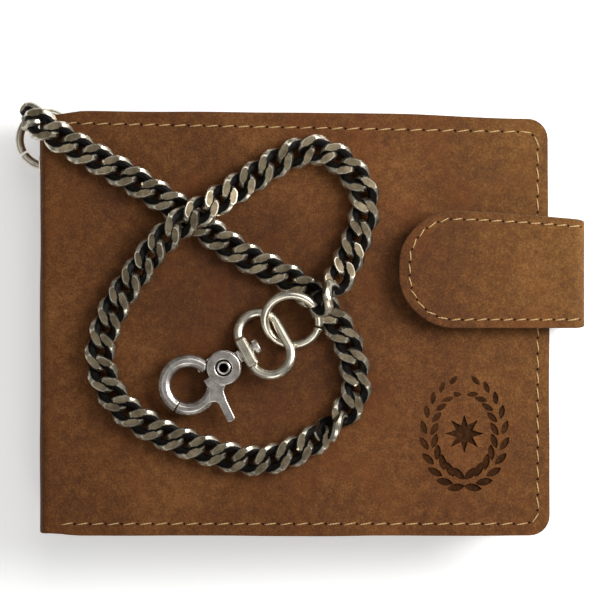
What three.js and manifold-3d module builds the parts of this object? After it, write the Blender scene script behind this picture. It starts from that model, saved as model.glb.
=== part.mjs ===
// Chain wallet: a bifold leather wallet with a strap, and a curb chain with a swivel trigger hook
// lying on its front cover. Millimetres, +Z up, origin at the middle of the wallet's underside.
import * as THREE from 'three';
import { mergeVertices } from 'three/addons/utils/BufferGeometryUtils.js';
import Module from 'manifold-3d';

const wasm = await Module();
wasm.setup();

// driving dimensions
const walletThickness = 21;
const halfWidth = 64.5;          // spine's outer face to the strap's outer face, halved
const halfHeight = 50.1;
const coverRight = 56.6;
const leather = 1.6;
const innerLeather = 1;
const pocketLeather = 0.8;
const gap = 0.3;
const cutThrough = 2;          // how far a cutting tool runs past what it cuts
const foldX = -62;               // the cover turns about this line
const foldZ = walletThickness / 2;
const spineTop = 49;
const spineBottom = -49.6;

const strapTip = 21.3;
const strapLow = -1.1;
const strapHigh = 26.4;
const strapThickness = 2.4;
const strapRaise = 2;            // press stud's height under the strap

const pocketLeft = -12;
const pocketRight = 48;
const pocketLow = -44;
const pocketHigh = 30;
const pocketFloor = 5.1;
const pocketHeight = 6.4;

const wireRadius = 0.9;
const ringRadius = 6.4;
const anchorRingPlace = [-63.5, 44.2, foldZ];
const eyeletY = 38.15;

const chainHalfWidth = 3.2;
const chainHalfHeight = 1.75;

const hookPlace = [-14.78, -6.71, walletThickness + 2.9];
const hookTurn = THREE.MathUtils.degToRad(29);
const bowRoll = THREE.MathUtils.degToRad(-13);

// the chain's centre line, from the anchor ring to the ring that carries the hook
const chainRoute = [
  [-67.3, 50, 12.9], [-67.2, 49.9, 16.6], [-66.2, 49.1, 20.4], [-64, 47.3, 23.2],
  [-60.5, 44.8, 23.7], [-54.2, 41, 23.1], [-41.5, 33.7, 23.1], [-29.4, 25.8, 23.1],
  [-16.7, 16.6, 23.1], [-4.7, 10.3, 23.1], [2.9, 4.3, 23.1], [8.7, -4.4, 23.1],
  [10.9, -14.2, 23.1], [9.5, -18.9, 23.1], [6.3, -22.9, 23.1], [-1.9, -29.2, 23.1],
  [-12.5, -32.2, 23.1], [-25.1, -29.5, 23.1], [-36.9, -24.7, 23.1], [-45.5, -17.9, 23.1],
  [-49.2, -7.9, 23.1], [-45.9, 3.5, 23.1], [-38.5, 14.4, 24], [-34.2, 19.4, 26.3],
  [-29.2, 23.8, 27.2], [-22.8, 27.9, 25.8], [-16.9, 31.8, 23.6], [-11, 35.7, 23.1],
  [-5.5, 38.9, 23.1], [0.4, 40.7, 23.1], [5.7, 39.1, 23.1], [10.2, 35.1, 23.1],
  [12.6, 30.5, 23.1], [12.6, 25, 23.1], [10.9, 19.6, 23.1], [8.7, 14.4, 23.9],
  [6.2, 9.5, 26], [3.8, 5.2, 27.7],
];

function material(hex, roughness, metalness) {
  return new THREE.MeshStandardMaterial({ color: hex, roughness, metalness });
}
const brownLeather = () => material(0x6b442a, 0.75, 0);
const darkLeather = () => material(0x4c3020, 0.8, 0);
const agedSteel = () => material(0x8f8a78, 0.35, 1);

const wallet = new THREE.Group();
const hook = new THREE.Group();
const bow = new THREE.Group();
hook.position.set(...hookPlace);
hook.rotation.z = hookTurn;
bow.rotation.x = bowRoll;
hook.add(bow);
wallet.add(hook);

function place(name, geometry, finish, parent = wallet) {
  const piece = new THREE.Mesh(geometry, finish);
  piece.name = name;
  parent.add(piece);
  return piece;
}

// a closed mesh as a solid that can be cut or joined, and back again
function solid(geometry) {
  const bare = geometry.clone();
  bare.deleteAttribute('normal');
  bare.deleteAttribute('uv');
  const merged = mergeVertices(bare, 1e-4);
  return new wasm.Manifold(new wasm.Mesh({
    numProp: 3,
    vertProperties: new Float32Array(merged.attributes.position.array),
    triVerts: new Uint32Array(merged.index.array),
  }));
}
function surface(shape) {
  const mesh = shape.getMesh();
  const geometry = new THREE.BufferGeometry();
  geometry.setAttribute('position', new THREE.BufferAttribute(mesh.vertProperties, 3));
  geometry.setIndex(new THREE.BufferAttribute(mesh.triVerts, 1));
  geometry.computeVertexNormals();
  return geometry;
}

// a flat sheet with rounded corners; radii run from the lower left corner anticlockwise
function sheet(left, right, low, high, bottom, thickness, radii) {
  const [lowerLeft, lowerRight, upperRight, upperLeft] = radii;
  const outline = new THREE.Shape();
  outline.moveTo(left + lowerLeft, low);
  outline.lineTo(right - lowerRight, low);
  outline.absarc(right - lowerRight, low + lowerRight, lowerRight, -Math.PI / 2, 0);
  outline.lineTo(right, high - upperRight);
  outline.absarc(right - upperRight, high - upperRight, upperRight, 0, Math.PI / 2);
  outline.lineTo(left + upperLeft, high);
  outline.absarc(left + upperLeft, high - upperLeft, upperLeft, Math.PI / 2, Math.PI);
  outline.lineTo(left, low + lowerLeft);
  outline.absarc(left + lowerLeft, low + lowerLeft, lowerLeft, Math.PI, Math.PI * 1.5);
  const geometry = new THREE.ExtrudeGeometry(outline, {
    depth: thickness, bevelEnabled: false, curveSegments: 6,
  });
  return geometry.translate(0, 0, bottom);
}
function block(left, right, low, high, bottom, top) {
  const geometry = new THREE.BoxGeometry(right - left, high - low, top - bottom);
  return geometry.translate((left + right) / 2, (low + high) / 2, (bottom + top) / 2);
}
function disc(radius, bottom, top, x, y) {
  const geometry = new THREE.CylinderGeometry(radius, radius, top - bottom, 32);
  return geometry.rotateX(Math.PI / 2).translate(x, y, (bottom + top) / 2);
}
function rodAlongX(radius, left, right, y, z) {
  const geometry = new THREE.CylinderGeometry(radius, radius, right - left, 24);
  return geometry.rotateZ(Math.PI / 2).translate((left + right) / 2, y, z);
}

// covers, inner panels and card pockets
const coverCorners = [2, 4.6, 4.6, 2];
const panelCorners = [0.5, 3, 3, 0.5];
const panelLeft = -54;
const panelMargin = 1;           // how far panels stay inside the covers' edges
const panelDrop = 3;             // how far their upper edge stays below the covers'
const backPanelBottom = 3.8;
const frontPanelGap = 0.4;
function leatherCover(bottom) {
  return sheet(foldX + gap, coverRight, -halfHeight, halfHeight, bottom, leather, coverCorners);
}
function innerPanel(high, bottom, thickness) {
  return sheet(panelLeft, coverRight - panelMargin, -halfHeight + panelMargin, high, bottom, thickness,
    panelCorners);
}
place('back_cover', leatherCover(0), brownLeather());
place('front_cover', leatherCover(walletThickness - leather), brownLeather());
const panelHigh = halfHeight - panelDrop;
place('back_inner_panel', innerPanel(panelHigh, backPanelBottom, innerLeather), darkLeather());
const frontPanelBottom = walletThickness - leather - frontPanelGap - innerLeather;
place('front_inner_panel', innerPanel(panelHigh, frontPanelBottom, innerLeather), darkLeather());
const pocketTops = [30, 18, 6];
pocketTops.forEach((high, i) => {
  const bottom = frontPanelBottom - (i + 1) * (pocketLeather + gap);
  place(`card_pocket_${i + 1}`, innerPanel(high, bottom, pocketLeather), brownLeather());
});

// spine: the leather that joins the covers, a half ellipse bulging to the left, with the eyelet's hole
const eyelet = { bore: 1.75, tube: 2.25, flange: 3.1, outerFace: -64.95, flangeBack: -64.7, tubeEnd: -62.6 };
const spineHole = 2.6;
function spineShell() {
  const bulge = halfWidth + foldX;
  const outline = new THREE.Shape();
  outline.absellipse(0, 0, bulge, foldZ, Math.PI / 2, -Math.PI / 2, true);
  outline.absellipse(0, 0, bulge - leather, foldZ - leather, -Math.PI / 2, Math.PI / 2, false);
  const geometry = new THREE.ExtrudeGeometry(outline, {
    depth: spineTop - spineBottom, bevelEnabled: false, curveSegments: 12,
  });
  geometry.rotateX(Math.PI / 2).rotateZ(Math.PI);
  geometry.translate(foldX, spineBottom, foldZ);
  const hole = rodAlongX(spineHole, -halfWidth - cutThrough, foldX + cutThrough, eyeletY, foldZ);
  return surface(solid(geometry).subtract(solid(hole)));
}
place('spine', spineShell(), brownLeather());

// eyelet: a short tube through the spine with a flange on its outer end
function eyeletTube() {
  const { bore, tube, flange, outerFace, flangeBack, tubeEnd } = eyelet;
  const profile = [
    [bore, outerFace], [flange, outerFace], [flange, flangeBack], [tube, flangeBack], [tube, tubeEnd],
    [bore, tubeEnd], [bore, outerFace],
  ].map(([radius, x]) => new THREE.Vector2(radius, x));
  const geometry = new THREE.LatheGeometry(profile, 28);
  return geometry.rotateZ(-Math.PI / 2).translate(0, eyeletY, foldZ);
}
place('chain_eyelet', eyeletTube(), agedSteel());
function wireRing() {
  return new THREE.TorusGeometry(ringRadius, wireRadius, 10, 36);
}
place('anchor_ring', wireRing().translate(...anchorRingPlace), agedSteel());

// strap: its fixed end between the back cover and the inner panel, its side, and its tab with the stud
const strapTabBottom = walletThickness + strapRaise;
const strapInner = halfWidth - strapThickness;
const anchorLeft = 38;
const anchorTop = 3.5;
const anchorCorners = [3, 0.1, 0.1, 3];
const tabCorners = [11, 0.6, 0.6, 11];
const strapBottom = leather + gap;
place('strap_anchor', sheet(anchorLeft, strapInner - gap, strapLow, strapHigh, strapBottom,
  anchorTop - strapBottom, anchorCorners), brownLeather());
place('strap_side', block(strapInner, halfWidth, strapLow, strapHigh, strapBottom,
  strapTabBottom - gap), brownLeather());
place('strap_tab', sheet(strapTip, halfWidth, strapLow, strapHigh, strapTabBottom, strapThickness,
  tabCorners), brownLeather());

// press stud: its post stands on the cover, its socket hangs under the tab
const stud = { x: 33, base: 5, baseTop: walletThickness + 0.8, post: 1.7, socket: 5.4, bore: 2.1 };
const studY = (strapLow + strapHigh) / 2;
const socketTop = strapTabBottom - gap;
const socketBottom = socketTop - 0.6;
function studWithPost() {
  const base = solid(disc(stud.base, walletThickness + gap, stud.baseTop, stud.x, studY));
  const post = solid(disc(stud.post, stud.baseTop - gap, socketTop - 0.1, stud.x, studY));
  return surface(base.add(post));
}
place('closure_stud', studWithPost(), agedSteel());
const socketRing = solid(disc(stud.socket, socketBottom, socketTop, stud.x, studY))
  .subtract(solid(disc(stud.bore, socketBottom - cutThrough, socketTop + cutThrough, stud.x, studY)));
place('closure_socket', surface(socketRing), agedSteel());

// coin pocket: a pouch open at its upper end, and the flap that folds over that end
const pouchSeam = 1;
const pocketCeiling = pocketFloor + pocketHeight;
const pouch = solid(block(pocketLeft, pocketRight, pocketLow, pocketHigh, pocketFloor, pocketCeiling));
const pouchHollow = solid(block(pocketLeft + pouchSeam, pocketRight - pouchSeam, pocketLow + pouchSeam,
  pocketHigh + cutThrough, pocketFloor + pocketLeather, pocketCeiling - pocketLeather));
place('coin_pocket', surface(pouch.subtract(pouchHollow)), darkLeather());
const flap = { left: pocketLeft - 0.5, right: pocketRight + 0.5, low: 12, high: 33.2 };
const flapTop = pocketCeiling + gap + innerLeather;
const flapFace = solid(block(flap.left, flap.right, flap.low, flap.high, flapTop - innerLeather, flapTop));
const flapEnd = solid(block(flap.left, flap.right, flap.high - innerLeather, flap.high, pocketFloor,
  flapTop));
place('coin_flap', surface(flapFace.add(flapEnd)), brownLeather());
const snapCap = { radius: 5, thickness: 0.7, x: 18, y: 17.5 };
place('coin_snap_cap', disc(snapCap.radius, flapTop + gap, flapTop + gap + snapCap.thickness, snapCap.x,
  snapCap.y), agedSteel());

// chain: one solid of the chain's outer shape, its flat side kept level along the route
class LevelRoute extends THREE.CatmullRomCurve3 {
  computeFrenetFrames(steps) {
    const up = new THREE.Vector3(0, 0, 1);
    const tangents = [];
    const normals = [];
    const binormals = [];
    for (let i = 0; i <= steps; i += 1) {
      const tangent = this.getTangentAt(i / steps);
      const side = new THREE.Vector3().crossVectors(up, tangent).normalize();
      tangents.push(tangent);
      normals.push(side);
      binormals.push(new THREE.Vector3().crossVectors(tangent, side));
    }
    return { tangents, normals, binormals };
  }
}
function chainSolid() {
  const route = new LevelRoute(chainRoute.map((point) => new THREE.Vector3(...point)));
  const section = new THREE.Shape();
  section.absellipse(0, 0, chainHalfWidth, chainHalfHeight, 0, Math.PI * 2);
  return new THREE.ExtrudeGeometry(section, {
    steps: 80, curveSegments: 4, bevelEnabled: false, extrudePath: route,
  });
}
place('chain', chainSolid(), agedSteel());

// ring between the chain's last link and the hook's bow, leaning over the chain
const jumpRingPlace = [-4.2, 0.8, 24.9];
const ringLean = new THREE.Vector3(-0.08, -0.44, 1).normalize();
const jumpRing = place('jump_ring', wireRing(), agedSteel());
jumpRing.position.set(...jumpRingPlace);
jumpRing.quaternion.setFromUnitVectors(new THREE.Vector3(0, 0, 1), ringLean);

// bow: a long wire loop with a collar that the hook's shank turns in
const bowX = 4.6;
const bowY = -0.3;
const bowBend = 4.87;
const bowStraight = 2.95;
const bowWire = 0.93;
const collar = { radius: 2.6, halfLength: 1.35, bore: 1.4 };
function closedTube(centre, count, radius, sides) {
  const positions = [];
  const index = [];
  const up = new THREE.Vector3(0, 0, 1);
  for (let i = 0; i < count; i += 1) {
    const point = centre(i / count);
    const ahead = centre((i + 0.01) / count).sub(centre((i - 0.01) / count)).normalize();
    const side = new THREE.Vector3().crossVectors(up, ahead);
    for (let j = 0; j < sides; j += 1) {
      const turn = (j / sides) * Math.PI * 2;
      const spot = point.clone().addScaledVector(side, Math.cos(turn) * radius);
      positions.push(spot.x, spot.y, spot.z + Math.sin(turn) * radius);
      const here = i * sides;
      const there = ((i + 1) % count) * sides;
      const next = (j + 1) % sides;
      index.push(here + j, here + next, there + next, here + j, there + next, there + j);
    }
  }
  const geometry = new THREE.BufferGeometry();
  geometry.setAttribute('position', new THREE.Float32BufferAttribute(positions, 3));
  geometry.setIndex(index);
  return geometry;
}
function bowCentre(share) {
  const loop = 4 * bowStraight + 2 * Math.PI * bowBend;
  let along = ((share % 1) + 1) % 1 * loop;
  const sideRun = 2 * bowStraight;
  const bend = Math.PI * bowBend;
  if (along < sideRun) return new THREE.Vector3(bowX + bowBend, bowY - bowStraight + along, 0);
  along -= sideRun;
  if (along < bend) {
    const turn = along / bowBend;
    return new THREE.Vector3(bowX + bowBend * Math.cos(turn),
      bowY + bowStraight + bowBend * Math.sin(turn), 0);
  }
  along -= bend;
  if (along < sideRun) return new THREE.Vector3(bowX - bowBend, bowY + bowStraight - along, 0);
  const turn = Math.PI + (along - sideRun) / bowBend;
  return new THREE.Vector3(bowX + bowBend * Math.cos(turn),
    bowY - bowStraight + bowBend * Math.sin(turn), 0);
}
function swivelBow() {
  const loop = solid(closedTube(bowCentre, 64, bowWire, 10));
  const sleeve = solid(rodAlongX(collar.radius, -collar.halfLength, collar.halfLength, 0, 0));
  const bore = solid(rodAlongX(collar.bore, -collar.halfLength - cutThrough,
    collar.halfLength + cutThrough, 0, 0));
  return surface(loop.add(sleeve).subtract(bore));
}
place('swivel_bow', swivelBow(), agedSteel(), bow);

// hook body: the fixed jaw, the plate under the trigger, and the shank with its head in the bow
const jaw = { x: -15.67, y: -0.13, outer: 7.2, inner: 4.15, halfHeight: 1.5 };
const fixedJaw = [14, 211];      // degrees round the jaw's centre
const movingJaw = [214.5, 318];
const movingJawRoot = [310, 352];
const rivet = { x: -6.5, y: -0.58, radius: 1.7, bore: 1, hole: 2, bottom: -2.2, top: 2.1 };
const backPlate = { radius: 4.1, bottom: -1.9, top: -0.6 };
const triggerPlate = { radius: 3.95, bottom: -0.3, top: 1.8 };
const shank = { radius: 1.1, left: -2, right: 2.6, head: 1.75, headLeft: 2, headRight: 3.2 };
function jawArc([fromDegrees, toDegrees]) {
  const middle = (jaw.outer + jaw.inner) / 2;
  const arc = new THREE.EllipseCurve(jaw.x, jaw.y, middle, middle,
    THREE.MathUtils.degToRad(fromDegrees), THREE.MathUtils.degToRad(toDegrees));
  const count = Math.ceil((toDegrees - fromDegrees) / 8);
  const points = arc.getPoints(count * 4).map((p) => new THREE.Vector3(p.x, p.y, 0));
  const section = new THREE.Shape();
  section.absellipse(0, 0, (jaw.outer - jaw.inner) / 2, jaw.halfHeight, 0, Math.PI * 2);
  return new THREE.ExtrudeGeometry(section, {
    steps: count, curveSegments: 5, bevelEnabled: false, extrudePath: new LevelRoute(points),
  });
}
function onRivet(radius, bottom, top) {
  return solid(disc(radius, bottom, top, rivet.x, rivet.y));
}
const rivetHole = onRivet(rivet.hole, rivet.bottom - cutThrough, rivet.top + cutThrough);
function hookBody() {
  const { bottom, top } = backPlate;
  const plate = onRivet(backPlate.radius, bottom, top);
  const bridge = solid(block(-12.2, -8.6, 1.2, 3.1, bottom + 0.2, top));
  const neck = solid(block(-4, -1.65, -1.5, 1.3, bottom, top));
  const root = solid(block(-2.25, -1.65, -1.5, 1.3, bottom, shank.radius));
  const stem = solid(rodAlongX(shank.radius, shank.left, shank.right, 0, 0));
  const head = solid(rodAlongX(shank.head, shank.headLeft, shank.headRight, 0, 0));
  const sweepRoom = onRivet(triggerPlate.radius + gap, top, rivet.top + cutThrough);
  return surface(solid(jawArc(fixedJaw)).add(plate).add(bridge).add(neck).add(root)
    .subtract(sweepRoom).add(stem).add(head).subtract(rivetHole));
}
place('hook_body', hookBody(), agedSteel(), hook);
const rivetTube = onRivet(rivet.radius, rivet.bottom, rivet.top)
  .subtract(onRivet(rivet.bore, rivet.bottom - cutThrough, rivet.top + cutThrough));
place('hook_rivet', surface(rivetTube), agedSteel(), hook);

// trigger: the round plate on the rivet, the moving jaw and the thumb lever in one piece
const leverThickness = 1.8;
function leverSolid() {
  const outline = new THREE.Shape();
  outline.moveTo(-12, -0.9);
  outline.lineTo(-11.9, -3.6);
  outline.lineTo(-13.2, -6.2);
  outline.quadraticCurveTo(-11.7, -6.3, -11.5, -7.6);
  outline.lineTo(-11.75, -12.1);
  outline.quadraticCurveTo(-10.8, -12.7, -9.9, -12.2);
  outline.lineTo(-9.6, -7.6);
  outline.lineTo(-9.35, -6.2);
  outline.quadraticCurveTo(-9.3, -4.8, -7.7, -4.3);
  outline.lineTo(-6.5, -1.5);
  const geometry = new THREE.ExtrudeGeometry(outline, {
    depth: leverThickness, bevelEnabled: false, curveSegments: 5,
  });
  return geometry.translate(0, 0, triggerPlate.bottom);
}
function trigger() {
  const { radius, bottom, top } = triggerPlate;
  const above = solid(block(-40, 10, -20, 20, bottom, top + cutThrough));
  const jawRoot = solid(jawArc(movingJawRoot)).intersect(above);
  return surface(onRivet(radius, bottom, top).add(solid(jawArc(movingJaw))).add(jawRoot)
    .add(solid(leverSolid())).subtract(rivetHole));
}
place('hook_trigger', trigger(), agedSteel(), hook);

export default wallet;
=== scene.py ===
# chain wallet: oiled leather bifold with a strap, a curb chain and a swivel trigger hook. Metres, +Z up
import math
import random
import bpy
from mathutils import Matrix, Vector


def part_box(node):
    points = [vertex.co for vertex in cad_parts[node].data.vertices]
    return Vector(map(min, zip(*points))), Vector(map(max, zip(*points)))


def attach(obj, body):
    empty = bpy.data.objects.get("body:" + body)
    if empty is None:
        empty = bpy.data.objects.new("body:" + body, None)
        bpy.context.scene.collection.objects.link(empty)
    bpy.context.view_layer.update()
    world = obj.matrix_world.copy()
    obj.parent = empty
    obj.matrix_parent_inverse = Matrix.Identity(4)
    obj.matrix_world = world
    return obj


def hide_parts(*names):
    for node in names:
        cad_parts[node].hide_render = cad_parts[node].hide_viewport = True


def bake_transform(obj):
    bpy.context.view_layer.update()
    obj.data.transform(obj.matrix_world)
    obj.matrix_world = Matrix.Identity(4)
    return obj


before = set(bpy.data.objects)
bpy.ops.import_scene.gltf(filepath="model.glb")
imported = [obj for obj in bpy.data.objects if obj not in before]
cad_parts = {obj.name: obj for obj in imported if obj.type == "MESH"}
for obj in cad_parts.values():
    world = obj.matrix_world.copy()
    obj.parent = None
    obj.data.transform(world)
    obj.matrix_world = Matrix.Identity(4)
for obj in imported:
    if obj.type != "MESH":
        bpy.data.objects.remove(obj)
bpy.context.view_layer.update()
mm = 0.001
tiny = 0.01 * mm
random.seed(7)


# small helpers for working in edit mode
def only(obj):
    if bpy.context.object and bpy.context.object.mode != "OBJECT":
        bpy.ops.object.mode_set(mode="OBJECT")
    bpy.ops.object.select_all(action="DESELECT")
    obj.select_set(True)
    bpy.context.view_layer.objects.active = obj
    return obj


def choose(obj, kind, wanted):
    # selects the points, edges or faces of obj whose middle passes the test, and stays in edit mode
    only(obj)
    bpy.ops.object.mode_set(mode="EDIT")
    bpy.ops.mesh.select_mode(type=kind)
    bpy.ops.mesh.select_all(action="DESELECT")
    bpy.ops.object.mode_set(mode="OBJECT")
    mesh = obj.data
    if kind == "VERT":
        for point in mesh.vertices:
            point.select = wanted(point.co)
    elif kind == "EDGE":
        for edge in mesh.edges:
            a, b = (mesh.vertices[i].co for i in edge.vertices)
            edge.select = wanted((a + b) / 2)
    else:
        for face in mesh.polygons:
            face.select = wanted(face.center)
    bpy.ops.object.mode_set(mode="EDIT")


def everything(obj):
    choose(obj, "VERT", lambda co: True)


def done():
    bpy.ops.object.mode_set(mode="OBJECT")


def started(name):
    piece = bpy.context.object
    piece.name = name
    piece.data.name = name
    return piece


def use(obj, kind, **settings):
    # adds one modifier and applies it
    only(obj)
    modifier = obj.modifiers.new(kind.title(), kind)
    for key, value in settings.items():
        setattr(modifier, key, value)
    bpy.ops.object.modifier_apply(modifier=modifier.name)


def paint(obj, *materials):
    obj.data.materials.clear()
    for material in materials:
        obj.data.materials.append(material)
    return obj


def softEdges(obj, degrees=40):
    only(obj)
    bpy.ops.object.shade_smooth_by_angle(angle=math.radians(degrees))
    return obj


def copyOf(obj, matrix):
    twin = obj.copy()
    twin.data = obj.data.copy()
    twin.matrix_world = matrix
    bpy.context.scene.collection.objects.link(twin)
    return twin


def joined(name, parts):
    bpy.ops.object.select_all(action="DESELECT")
    for part in parts:
        part.select_set(True)
    bpy.context.view_layer.objects.active = parts[0]
    if len(parts) > 1:
        bpy.ops.object.join()
    bpy.ops.object.transform_apply(location=True, rotation=True, scale=True)
    return started(name)


def settled(obj):
    # makes the object's move, turn and size part of its mesh
    only(obj)
    bpy.ops.object.transform_apply(location=True, rotation=True, scale=True)
    return obj


def away(*objs):
    for obj in objs:
        bpy.data.objects.remove(obj)


def cleaned(obj, gap=tiny):
    everything(obj)
    bpy.ops.mesh.remove_doubles(threshold=gap)
    bpy.ops.mesh.select_all(action="SELECT")
    bpy.ops.mesh.normals_make_consistent(inside=False)
    done()
    return obj


def extrude(*shift):
    bpy.ops.mesh.extrude_region_move(TRANSFORM_OT_translate={"value": shift})


def pull(obj, wanted, shift, reach):
    # moves the chosen points, and less and less what lies within reach of them
    choose(obj, "VERT", wanted)
    bpy.ops.transform.translate(value=shift, use_proportional_edit=True,
                                proportional_edit_falloff="SMOOTH", proportional_size=reach)
    done()


def bevelled(obj, width, segments, degrees=60):
    use(obj, "BEVEL", width=width, segments=segments, limit_method="ANGLE",
        angle_limit=math.radians(degrees))


# light, floor and camera
studio = {
    "floorSize": 12.0, "worldGrey": 0.15,
    "softboxes": {  # place, size, watts
        "keyLight": ((0.26, 0.10, 0.24), 0.20, 1.6),
        "topLight": ((0.10, 0.42, 0.66), 0.36, 0.9),
        "fillLight": ((-0.48, -0.10, 0.62), 0.50, 0.5),
        "frontLight": ((0.02, -0.50, 0.48), 0.34, 0.95),
    },
}
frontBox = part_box("front_cover")
cameraLook = {"lens": 120, "sensor": 36, "frameWidth": 0.14145, "aim": (-0.00233, 0.00548)}


def softbox(name, place, size, watts):
    lamp = bpy.data.lights.new(name, "AREA")
    lamp.size = size
    lamp.energy = watts
    lampObject = bpy.data.objects.new(name, lamp)
    lampObject.location = place
    lampObject.rotation_euler = (-Vector(place)).to_track_quat("-Z", "Y").to_euler()
    bpy.context.scene.collection.objects.link(lampObject)


for name, (place, size, watts) in studio["softboxes"].items():
    softbox(name, place, size, watts)
world = bpy.data.worlds.new("studioWorld")
world.use_nodes = True
sky = world.node_tree.nodes["Background"].inputs
sky["Color"].default_value = (1, 0.99, 0.97, 1)
sky["Strength"].default_value = studio["worldGrey"]
bpy.context.scene.world = world
bpy.context.scene.view_settings.view_transform = "Standard"

camera = bpy.data.cameras.new("camera")
camera.lens = cameraLook["lens"]
camera.sensor_width = cameraLook["sensor"]
cameraObject = bpy.data.objects.new("camera", camera)
cameraHeight = cameraLook["frameWidth"] * cameraLook["lens"] / cameraLook["sensor"]
cameraObject.location = (*cameraLook["aim"], frontBox[1].z + cameraHeight)
bpy.context.scene.collection.objects.link(cameraObject)
bpy.context.scene.camera = cameraObject
print("camera and lights are set")


# shader sockets that can be added, multiplied and masked like numbers
class Wire:
    def __init__(self, tree, socket=None):
        self.tree = tree
        self.socket = socket

    def node(self, kind, settings, values, output=0):
        made = self.tree.nodes.new(kind)
        for key, value in settings.items():
            setattr(made, key, value)
        for key, value in values.items():
            if isinstance(value, Wire):
                self.tree.links.new(value.socket, made.inputs[key])
            else:
                made.inputs[key].default_value = value
        return Wire(self.tree, made.outputs[output])

    def sum(self, operation, first, second):
        return self.node("ShaderNodeMath", {"operation": operation}, {0: first, 1: second})

    def __add__(self, other):
        return self.sum("ADD", self, other)

    def __sub__(self, other):
        return self.sum("SUBTRACT", self, other)

    def __rsub__(self, other):
        return self.sum("SUBTRACT", other, self)

    def __mul__(self, other):
        return self.sum("MULTIPLY", self, other)

    def ramp(self, stops):
        made = self.node("ShaderNodeValToRGB", {}, {0: self})
        elements = made.socket.node.color_ramp.elements
        while len(elements) < len(stops):
            elements.new(1)
        for element, (position, colour) in zip(elements, stops):
            element.position = position
            element.color = (*colour, 1)
        return made

    def between(self, low, high):
        # 0 at low, 1 at high, straight between them
        return self.node("ShaderNodeMapRange", {"clamp": True},
                         {"Value": self, "From Min": low, "From Max": high, "To Min": 0.0, "To Max": 1.0})

    def noise(self, place, scale, detail=3.0, roughness=0.55):
        return self.node("ShaderNodeTexNoise", {}, {
            "Vector": place, "Scale": scale, "Detail": detail, "Roughness": roughness})

    def cells(self, place, scale):
        return self.node("ShaderNodeTexVoronoi", {}, {"Vector": place, "Scale": scale})

    def blend(self, factor, first, second, kind="MIX"):
        return self.node("ShaderNodeMix", {"data_type": "RGBA", "blend_type": kind},
                         {0: factor, 6: first, 7: second}, output=2)

    def spread(self, place, scale, turn):
        return self.node("ShaderNodeMapping", {}, {"Vector": place, "Scale": scale, "Rotation": turn})


def newMaterial(name):
    material = bpy.data.materials.new(name)
    material.use_nodes = True
    tree = material.node_tree
    shader = tree.nodes["Principled BSDF"]
    start = Wire(tree)
    place = start.node("ShaderNodeTexCoord", {}, {}, output=3)
    return material, start, place, shader


def finishMaterial(wire, shader, colour, roughness, height, depth, strength=1.0, metallic=None):
    tree = wire.tree
    tree.links.new(colour.socket, shader.inputs["Base Color"])
    tree.links.new(roughness.socket, shader.inputs["Roughness"])
    if metallic is not None:
        tree.links.new(metallic.socket, shader.inputs["Metallic"])
    bump = wire.node("ShaderNodeBump", {}, {"Strength": strength, "Distance": depth, "Height": height})
    tree.links.new(bump.socket, shader.inputs["Normal"])


# leathers
outerLook = {
    "dark": (0.060, 0.018, 0.0035), "mid": (0.110, 0.037, 0.007), "light": (0.192, 0.075, 0.020),
    "patch": 42, "mottle": 420, "speck": 2500, "roughness": 0.80, "grainDepth": 0.08 * mm,
    "shine": 0.24,
}
liningLook = {
    "dark": (0.035, 0.016, 0.008), "mid": (0.066, 0.030, 0.014), "light": (0.110, 0.054, 0.026),
    "patch": 45, "mottle": 260, "speck": 1500, "roughness": 0.82, "grainDepth": 0.09 * mm,
    "shine": 0.2,
}
pressedLook = {
    "dark": (0.018, 0.006, 0.002), "mid": (0.036, 0.013, 0.004), "light": (0.070, 0.026, 0.008),
    "patch": 60, "mottle": 300, "speck": 1500, "roughness": 0.62, "grainDepth": 0.05 * mm,
    "shine": 0.05,
}
edgeLook = {
    "dark": (0.045, 0.020, 0.009), "mid": (0.110, 0.054, 0.026), "light": (0.180, 0.100, 0.052),
    "patch": 90, "mottle": 700, "speck": 2600, "roughness": 0.7, "grainDepth": 0.12 * mm,
    "shine": 0.2,
}
paintedLightAndShade = {  # painted light and sheen: paler towards the strap; painted shade: darker inside the chain loops round the hook
    "lean": 0.3, "paintedLightRange": (0.030, 0.078), "paintedLightTint": (1.22, 1.48, 1.38),
    "paintedShadeSpot": (-0.012, 0.002, 0.021), "paintedShadeRange": (0.046, 0.018), "paintedShadeTint": (0.76, 0.72, 0.64),
}
grain = {
    "patchShare": 0.55, "mottleShare": 0.55, "speckShare": 0.75, "stops": (0.28, 0.50, 0.74),
    "warmTint": (1.25, 0.98, 0.85), "warmTurn": (0.4, 0.2, 1.1), "warmSize": 1.7,
    "warmRange": (0.52, 0.72), "warmShare": 0.45,
    "scuffScale": 95, "scuffStretch": (1, 14, 1), "scuffTurn": (0, 0, 0.5), "scuffRange": (0.66, 0.74),
    "scuffWorn": (0.5, 0.7), "scuffShare": 0.5, "scuffPale": 1.25,
    "pores": 1150, "poreRange": (0.0, 0.55), "poreRelief": 0.55, "speckRelief": 0.3, "mottleRelief": 0.45,
    "glossSpread": 0.25, "glossShift": 0.13,
}


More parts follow.
